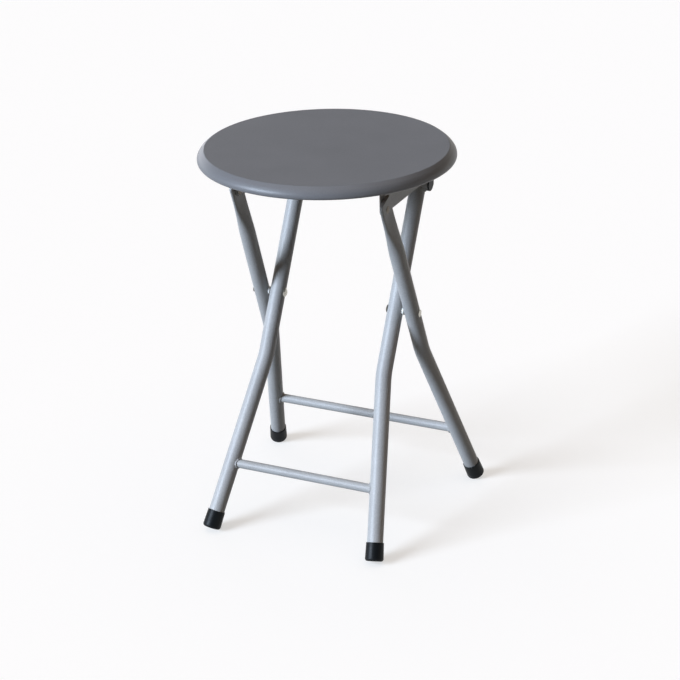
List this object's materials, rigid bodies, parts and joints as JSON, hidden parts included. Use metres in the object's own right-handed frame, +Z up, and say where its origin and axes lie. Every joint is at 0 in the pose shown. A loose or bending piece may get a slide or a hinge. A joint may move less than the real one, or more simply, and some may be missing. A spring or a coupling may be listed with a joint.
{
  "type": "folding stool",
  "caption": "Folding stool: a round flat seat on two crossed frames of bent tube. The seat flips up off the rear bar and the frames scissor shut.",
  "frame": {"origin": "on the floor under the centre of the seat", "axes": "+Z up, +X along the hinge axes, -Y towards the front, where the inner legs stand"},
  "size_m": [0.3, 0.3, 0.463],
  "materials": {
    "grey_film": "matt grey film with a faint grain",
    "fibre_board": "raw fibre board, seen only from below",
    "silver_paint": "satin silver powder coat",
    "zinc_plate": "zinc plated steel",
    "white_nylon": "natural white nylon",
    "black_rubber": "black rubber with a soft sheen"
  },
  "bodies": {
    "outer_frame": {"outer_leg_right": "silver_paint", "outer_leg_left": "silver_paint", "outer_stretcher": "silver_paint", "outer_foot_cap_right": "black_rubber", "outer_foot_cap_left": "black_rubber"},
    "inner_frame": {"inner_leg_right": "silver_paint", "inner_leg_left": "silver_paint", "inner_stretcher": "silver_paint", "inner_top_bar": "silver_paint", "top_bar_plug_right": "black_rubber", "top_bar_plug_left": "black_rubber", "inner_foot_cap_right": "black_rubber", "inner_foot_cap_left": "black_rubber", "cross_rivet_right": "zinc_plate", "cross_rivet_left": "zinc_plate", "cross_spacer_right": "white_nylon", "cross_spacer_left": "white_nylon"},
    "seat": {"seat_film": "grey_film", "seat_board": "fibre_board", "seat_rail_right": "silver_paint", "seat_rail_left": "silver_paint", "rail_screw_front_right": "zinc_plate", "rail_screw_front_left": "zinc_plate", "rail_screw_middle_right": "zinc_plate", "rail_screw_middle_left": "zinc_plate", "rail_screw_rear_right": "zinc_plate", "rail_screw_rear_left": "zinc_plate", "seat_hinge_rivet_right": "zinc_plate", "seat_hinge_rivet_left": "zinc_plate", "seat_hinge_washer_right": "white_nylon", "seat_hinge_washer_left": "white_nylon"}
  },
  "joints": [
    {"name": "leg_fold", "type": "hinge", "parent": "outer_frame", "child": "inner_frame", "pos_m": [0, 0.0156, 0.2635], "axis": [1, 0, 0], "range_deg": [0, 43]},
    {"name": "seat_flip", "type": "hinge", "parent": "outer_frame", "child": "seat", "pos_m": [0, -0.04817, 0.413], "axis": [1, 0, 0], "range_deg": [0, 111.8]}
  ],
  "couplings": [
    {"joint": "seat_flip", "follows": "leg_fold", "ratio": 2.6}
  ]
}
